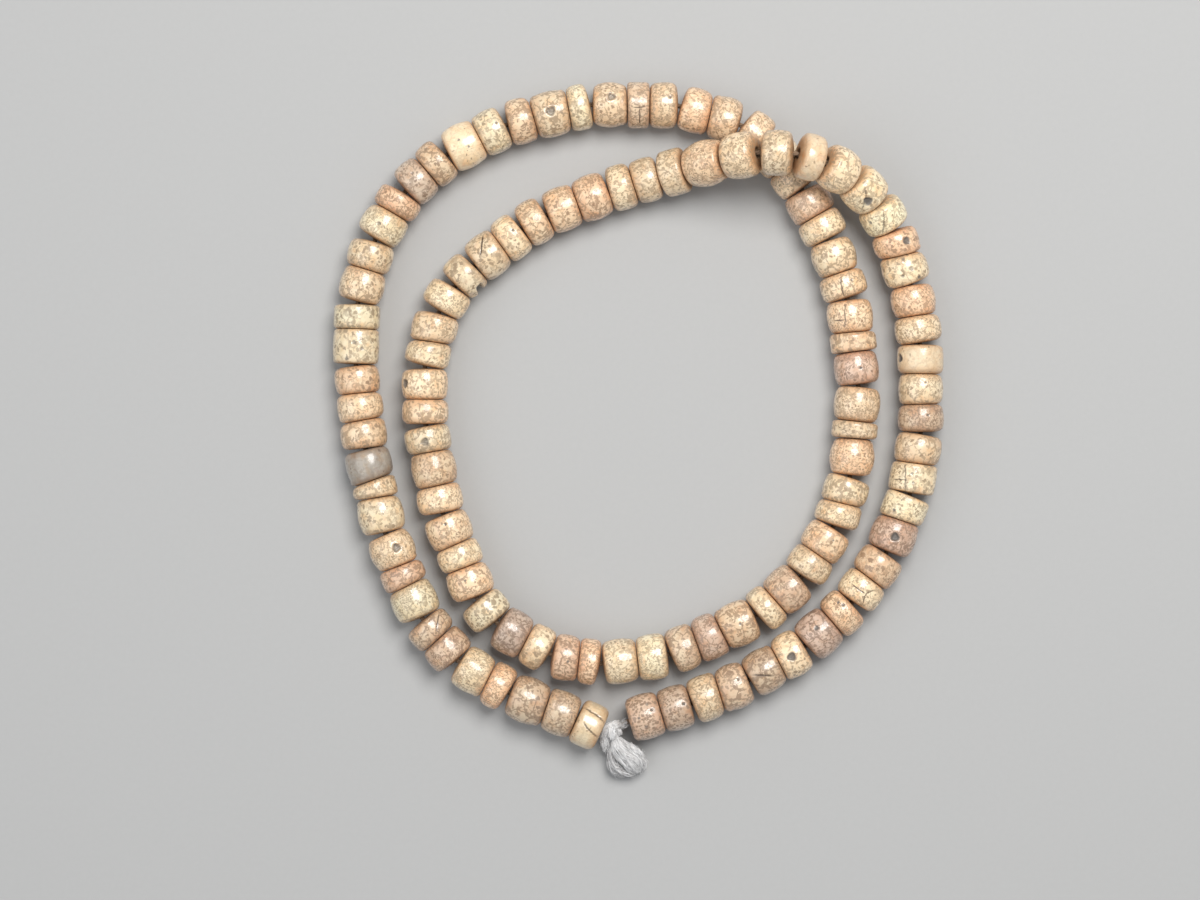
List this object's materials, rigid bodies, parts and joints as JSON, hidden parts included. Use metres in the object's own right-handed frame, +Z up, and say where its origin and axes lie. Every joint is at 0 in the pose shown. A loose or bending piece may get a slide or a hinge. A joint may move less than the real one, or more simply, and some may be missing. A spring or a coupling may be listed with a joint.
{
  "type": "mala prayer beads",
  "caption": "Strand of polished barrel-shaped seed beads on one cord, doubled into two overlapping loops and tied with a silky thread knot and tuft.",
  "frame": {"origin": "bottom centre of the box around the whole strand, on the surface it lies on", "axes": "+Z up from the surface; -Y towards the knot and tuft; +X to the right seen from above with the knot nearest"},
  "size_m": [0.1224, 0.1398, 0.0201],
  "materials": {
    "seed": "glossy, hand-polished",
    "cord": "matt thread",
    "thread": "silky"
  },
  "bodies": {
    "cord_and_knot": {"cord": "cord", "knot": "thread"},
    "bead_001": {"bead_001": "seed"},
    "beads_002_003": {"beads_002_003": "seed"},
    "beads_004_005": {"beads_004_005": "seed"},
    "beads_006_007": {"beads_006_007": "seed"},
    "beads_008_010": {"beads_008_010": "seed"},
    "beads_011_013": {"beads_011_013": "seed"},
    "beads_014_016": {"beads_014_016": "seed"},
    "beads_017_018": {"beads_017_018": "seed"},
    "beads_019_020": {"beads_019_020": "seed"},
    "beads_021_022": {"beads_021_022": "seed"},
    "beads_023_024": {"beads_023_024": "seed"},
    "beads_025_026": {"beads_025_026": "seed"},
    "beads_027_029": {"beads_027_029": "seed"},
    "beads_030_032": {"beads_030_032": "seed"},
    "beads_033_034": {"beads_033_034": "seed"},
    "bead_035": {"bead_035": "seed"},
    "beads_036_037": {"beads_036_037": "seed"},
    "beads_038_039": {"beads_038_039": "seed"},
    "beads_040_041": {"beads_040_041": "seed"},
    "beads_042_044": {"beads_042_044": "seed"},
    "beads_045_047": {"beads_045_047": "seed"},
    "beads_048_049": {"beads_048_049": "seed"},
    "beads_050_051": {"beads_050_051": "seed"},
    "beads_052_053": {"beads_052_053": "seed"},
    "beads_054_056": {"beads_054_056": "seed"},
    "beads_057_058": {"beads_057_058": "seed"},
    "beads_059_060": {"beads_059_060": "seed"},
    "beads_061_062": {"beads_061_062": "seed"},
    "bead_063": {"bead_063": "seed"},
    "beads_064_066": {"beads_064_066": "seed"},
    "beads_067_069": {"beads_067_069": "seed"},
    "beads_070_071": {"beads_070_071": "seed"},
    "beads_072_073": {"beads_072_073": "seed"},
    "bead_074": {"bead_074": "seed"},
    "bead_075": {"bead_075": "seed"},
    "beads_076_077": {"beads_076_077": "seed"},
    "bead_078": {"bead_078": "seed"},
    "beads_079_080": {"beads_079_080": "seed"},
    "beads_081_082": {"beads_081_082": "seed"},
    "bead_083": {"bead_083": "seed"},
    "bead_084": {"bead_084": "seed"},
    "bead_085": {"bead_085": "seed"},
    "bead_086": {"bead_086": "seed"},
    "bead_087": {"bead_087": "seed"},
    "bead_088": {"bead_088": "seed"},
    "bead_089": {"bead_089": "seed"},
    "bead_090": {"bead_090": "seed"},
    "beads_091_092": {"beads_091_092": "seed"},
    "beads_093_094": {"beads_093_094": "seed"},
    "beads_095_097": {"beads_095_097": "seed"},
    "beads_098_099": {"beads_098_099": "seed"},
    "beads_100_101": {"beads_100_101": "seed"},
    "beads_102_103": {"beads_102_103": "seed"},
    "beads_104_105": {"beads_104_105": "seed"},
    "beads_106_107": {"beads_106_107": "seed"},
    "beads_108_109": {"beads_108_109": "seed"},
    "beads_110_111": {"beads_110_111": "seed"},
    "thread_tuft": {"thread_tuft": "thread"}
  },
  "joints": [
    {"name": "spin_bead_001", "type": "hinge", "parent": "cord_and_knot", "child": "bead_001", "pos_m": [-0.0098, -0.05893, 0.00472], "axis": [-0.908, 0.4191, 0], "continuous": true},
    {"name": "spin_beads_002_003", "type": "hinge", "parent": "cord_and_knot", "child": "beads_002_003", "pos_m": [-0.01904, -0.05514, 0.00472], "axis": [-0.9314, 0.3641, 0], "continuous": true},
    {"name": "spin_beads_004_005", "type": "hinge", "parent": "cord_and_knot", "child": "beads_004_005", "pos_m": [-0.03085, -0.04939, 0.00472], "axis": [-0.8515, 0.5244, 0], "continuous": true},
    {"name": "spin_beads_006_007", "type": "hinge", "parent": "cord_and_knot", "child": "beads_006_007", "pos_m": [-0.03968, -0.04188, 0.00472], "axis": [-0.6428, 0.766, 0], "continuous": true},
    {"name": "spin_beads_008_010", "type": "hinge", "parent": "cord_and_knot", "child": "beads_008_010", "pos_m": [-0.04696, -0.02902, 0.00472], "axis": [-0.3964, 0.9181, 0], "continuous": true},
    {"name": "spin_beads_011_013", "type": "hinge", "parent": "cord_and_knot", "child": "beads_011_013", "pos_m": [-0.05258, -0.01209, 0.00472], "axis": [-0.2272, 0.9739, 0], "continuous": true},
    {"name": "spin_beads_014_016", "type": "hinge", "parent": "cord_and_knot", "child": "beads_014_016", "pos_m": [-0.05553, 0.00463, 0.00472], "axis": [-0.1189, 0.9929, 0], "continuous": true},
    {"name": "spin_beads_017_018", "type": "hinge", "parent": "cord_and_knot", "child": "beads_017_018", "pos_m": [-0.05634, 0.01919, 0.00472], "axis": [0.032, 0.9995, 0], "continuous": true},
    {"name": "spin_beads_019_020", "type": "hinge", "parent": "cord_and_knot", "child": "beads_019_020", "pos_m": [-0.05447, 0.0317, 0.00472], "axis": [0.2604, 0.9655, 0], "continuous": true},
    {"name": "spin_beads_021_022", "type": "hinge", "parent": "cord_and_knot", "child": "beads_021_022", "pos_m": [-0.04974, 0.04287, 0.00472], "axis": [0.5294, 0.8484, 0], "continuous": true},
    {"name": "spin_beads_023_024", "type": "hinge", "parent": "cord_and_knot", "child": "beads_023_024", "pos_m": [-0.04248, 0.05146, 0.00472], "axis": [0.7484, 0.6632, 0], "continuous": true},
    {"name": "spin_beads_025_026", "type": "hinge", "parent": "cord_and_knot", "child": "beads_025_026", "pos_m": [-0.03231, 0.05818, 0.00472], "axis": [0.8938, 0.4485, 0], "continuous": true},
    {"name": "spin_beads_027_029", "type": "hinge", "parent": "cord_and_knot", "child": "beads_027_029", "pos_m": [-0.0179, 0.06317, 0.00472], "axis": [0.9729, 0.2312, 0], "continuous": true},
    {"name": "spin_beads_030_032", "type": "hinge", "parent": "cord_and_knot", "child": "beads_030_032", "pos_m": [-0.00063, 0.06507, 0.00472], "axis": [0.9999, -0.0137, 0], "continuous": true},
    {"name": "spin_beads_033_034", "type": "hinge", "parent": "cord_and_knot", "child": "beads_033_034", "pos_m": [0.01435, 0.06305, 0.00472], "axis": [0.955, -0.2965, 0], "continuous": true},
    {"name": "spin_bead_035", "type": "hinge", "parent": "cord_and_knot", "child": "bead_035", "pos_m": [0.02315, 0.05921, 0.00472], "axis": [0.806, -0.5919, 0], "continuous": true},
    {"name": "spin_beads_036_037", "type": "hinge", "parent": "cord_and_knot", "child": "beads_036_037", "pos_m": [0.02932, 0.05265, 0.00472], "axis": [0.6126, -0.7904, 0], "continuous": true},
    {"name": "spin_beads_038_039", "type": "hinge", "parent": "cord_and_knot", "child": "beads_038_039", "pos_m": [0.03545, 0.04305, 0.00472], "axis": [0.4573, -0.8893, 0], "continuous": true},
    {"name": "spin_beads_040_041", "type": "hinge", "parent": "cord_and_knot", "child": "beads_040_041", "pos_m": [0.03995, 0.03219, 0.00472], "axis": [0.3134, -0.9496, 0], "continuous": true},
    {"name": "spin_beads_042_044", "type": "hinge", "parent": "cord_and_knot", "child": "beads_042_044", "pos_m": [0.04297, 0.01762, 0.00472], "axis": [0.1219, -0.9925, 0], "continuous": true},
    {"name": "spin_beads_045_047", "type": "hinge", "parent": "cord_and_knot", "child": "beads_045_047", "pos_m": [0.04322, -0.00011, 0.00472], "axis": [-0.0907, -0.9959, 0], "continuous": true},
    {"name": "spin_beads_048_049", "type": "hinge", "parent": "cord_and_knot", "child": "beads_048_049", "pos_m": [0.04075, -0.01422, 0.00472], "axis": [-0.3087, -0.9512, 0], "continuous": true},
    {"name": "spin_beads_050_051", "type": "hinge", "parent": "cord_and_knot", "child": "beads_050_051", "pos_m": [0.03587, -0.02433, 0.00472], "axis": [-0.5412, -0.8409, 0], "continuous": true},
    {"name": "spin_beads_052_053", "type": "hinge", "parent": "cord_and_knot", "child": "beads_052_053", "pos_m": [0.02808, -0.03325, 0.00472], "axis": [-0.7611, -0.6487, 0], "continuous": true},
    {"name": "spin_beads_054_056", "type": "hinge", "parent": "cord_and_knot", "child": "beads_054_056", "pos_m": [0.01484, -0.04097, 0.00472], "axis": [-0.9143, -0.4051, 0], "continuous": true},
    {"name": "spin_beads_057_058", "type": "hinge", "parent": "cord_and_knot", "child": "beads_057_058", "pos_m": [-0.00059, -0.04575, 0.00472], "axis": [-0.9908, -0.1356, 0], "continuous": true},
    {"name": "spin_beads_059_060", "type": "hinge", "parent": "cord_and_knot", "child": "beads_059_060", "pos_m": [-0.01245, -0.04577, 0.00472], "axis": [-0.9843, 0.1764, 0], "continuous": true},
    {"name": "spin_beads_061_062", "type": "hinge", "parent": "cord_and_knot", "child": "beads_061_062", "pos_m": [-0.02295, -0.0417, 0.00472], "axis": [-0.862, 0.5069, 0], "continuous": true},
    {"name": "spin_bead_063", "type": "hinge", "parent": "cord_and_knot", "child": "bead_063", "pos_m": [-0.03036, -0.03598, 0.00472], "axis": [-0.624, 0.7814, 0], "continuous": true},
    {"name": "spin_beads_064_066", "type": "hinge", "parent": "cord_and_knot", "child": "beads_064_066", "pos_m": [-0.03574, -0.02503, 0.00472], "axis": [-0.3736, 0.9276, 0], "continuous": true},
    {"name": "spin_beads_067_069", "type": "hinge", "parent": "cord_and_knot", "child": "beads_067_069", "pos_m": [-0.04084, -0.00783, 0.00472], "axis": [-0.1926, 0.9813, 0], "continuous": true},
    {"name": "spin_beads_070_071", "type": "hinge", "parent": "cord_and_knot", "child": "beads_070_071", "pos_m": [-0.04265, 0.00675, 0.00472], "axis": [-0.0137, 0.9999, 0], "continuous": true},
    {"name": "spin_beads_072_073", "type": "hinge", "parent": "cord_and_knot", "child": "beads_072_073", "pos_m": [-0.04134, 0.01811, 0.00472], "axis": [0.2456, 0.9694, 0], "continuous": true},
    {"name": "spin_bead_074", "type": "hinge", "parent": "cord_and_knot", "child": "bead_074", "pos_m": [-0.0383, 0.02631, 0.00472], "axis": [0.5255, 0.8508, 0], "continuous": true},
    {"name": "spin_bead_075", "type": "hinge", "parent": "cord_and_knot", "child": "bead_075", "pos_m": [-0.03468, 0.03093, 0.00472], "axis": [0.7008, 0.7133, 0], "continuous": true},
    {"name": "spin_beads_076_077", "type": "hinge", "parent": "cord_and_knot", "child": "beads_076_077", "pos_m": [-0.02801, 0.03658, 0.00472], "axis": [0.7899, 0.6132, 0], "continuous": true},
    {"name": "spin_bead_078", "type": "hinge", "parent": "cord_and_knot", "child": "bead_078", "pos_m": [-0.02082, 0.04166, 0.00472], "axis": [0.8674, 0.4976, 0], "continuous": true},
    {"name": "spin_beads_079_080", "type": "hinge", "parent": "cord_and_knot", "child": "beads_079_080", "pos_m": [-0.01212, 0.0455, 0.00472], "axis": [0.932, 0.3625, 0], "continuous": true},
    {"name": "spin_beads_081_082", "type": "hinge", "parent": "cord_and_knot", "child": "beads_081_082", "pos_m": [-0.00083, 0.04934, 0.0051], "axis": [0.9602, 0.2697, 0.0722], "continuous": true},
    {"name": "spin_bead_083", "type": "hinge", "parent": "cord_and_knot", "child": "bead_083", "pos_m": [0.00717, 0.0515, 0.00641], "axis": [0.9219, 0.2289, 0.3127], "continuous": true},
    {"name": "spin_bead_084", "type": "hinge", "parent": "cord_and_knot", "child": "bead_084", "pos_m": [0.01347, 0.05299, 0.00948], "axis": [0.8451, 0.1923, 0.4989], "continuous": true},
    {"name": "spin_bead_085", "type": "hinge", "parent": "cord_and_knot", "child": "bead_085", "pos_m": [0.02016, 0.0542, 0.01309], "axis": [0.8946, 0.113, 0.4323], "continuous": true},
    {"name": "spin_bead_086", "type": "hinge", "parent": "cord_and_knot", "child": "bead_086", "pos_m": [0.02719, 0.0545, 0.01524], "axis": [0.9913, -0.0404, 0.1252], "continuous": true},
    {"name": "spin_bead_087", "type": "hinge", "parent": "cord_and_knot", "child": "bead_087", "pos_m": [0.03368, 0.05364, 0.01495], "axis": [0.9422, -0.2312, -0.2427], "continuous": true},
    {"name": "spin_bead_088", "type": "hinge", "parent": "cord_and_knot", "child": "bead_088", "pos_m": [0.03934, 0.05145, 0.01261], "axis": [0.7964, -0.4117, -0.443], "continuous": true},
    {"name": "spin_bead_089", "type": "hinge", "parent": "cord_and_knot", "child": "bead_089", "pos_m": [0.04461, 0.04777, 0.00942], "axis": [0.6628, -0.6068, -0.4387], "continuous": true},
    {"name": "spin_bead_090", "type": "hinge", "parent": "cord_and_knot", "child": "bead_090", "pos_m": [0.04879, 0.04282, 0.00685], "axis": [0.5153, -0.8089, -0.2832], "continuous": true},
    {"name": "spin_beads_091_092", "type": "hinge", "parent": "cord_and_knot", "child": "beads_091_092", "pos_m": [0.05247, 0.0346, 0.00531], "axis": [0.3343, -0.9369, -0.102], "continuous": true},
    {"name": "spin_beads_093_094", "type": "hinge", "parent": "cord_and_knot", "child": "beads_093_094", "pos_m": [0.05541, 0.02323, 0.00472], "axis": [0.1677, -0.9858, 0], "continuous": true},
    {"name": "spin_beads_095_097", "type": "hinge", "parent": "cord_and_knot", "child": "beads_095_097", "pos_m": [0.05645, 0.0084, 0.00472], "axis": [0.0041, -1, 0], "continuous": true},
    {"name": "spin_beads_098_099", "type": "hinge", "parent": "cord_and_knot", "child": "beads_098_099", "pos_m": [0.05541, -0.00664, 0.00472], "axis": [-0.1748, -0.9846, 0], "continuous": true},
    {"name": "spin_beads_100_101", "type": "hinge", "parent": "cord_and_knot", "child": "beads_100_101", "pos_m": [0.05198, -0.0186, 0.00472], "axis": [-0.373, -0.9278, 0], "continuous": true},
    {"name": "spin_beads_102_103", "type": "hinge", "parent": "cord_and_knot", "child": "beads_102_103", "pos_m": [0.0462, -0.02946, 0.00472], "axis": [-0.5645, -0.8254, 0], "continuous": true},
    {"name": "spin_beads_104_105", "type": "hinge", "parent": "cord_and_knot", "child": "beads_104_105", "pos_m": [0.03805, -0.03882, 0.00472], "axis": [-0.7359, -0.6771, 0], "continuous": true},
    {"name": "spin_beads_106_107", "type": "hinge", "parent": "cord_and_knot", "child": "beads_106_107", "pos_m": [0.02772, -0.04655, 0.00472], "axis": [-0.8552, -0.5183, 0], "continuous": true},
    {"name": "spin_beads_108_109", "type": "hinge", "parent": "cord_and_knot", "child": "beads_108_109", "pos_m": [0.01636, -0.05228, 0.00472], "axis": [-0.9263, -0.3769, 0], "continuous": true},
    {"name": "spin_beads_110_111", "type": "hinge", "parent": "cord_and_knot", "child": "beads_110_111", "pos_m": [0.00424, -0.05639, 0.00472], "axis": [-0.9635, -0.2676, 0], "continuous": true},
    {"name": "tuft_swing", "type": "hinge", "parent": "cord_and_knot", "child": "thread_tuft", "pos_m": [-0.00465, -0.05971, 0.0046], "axis": [-0.9356, -0.3531, 0], "range_deg": [0, 90]}
  ]
}
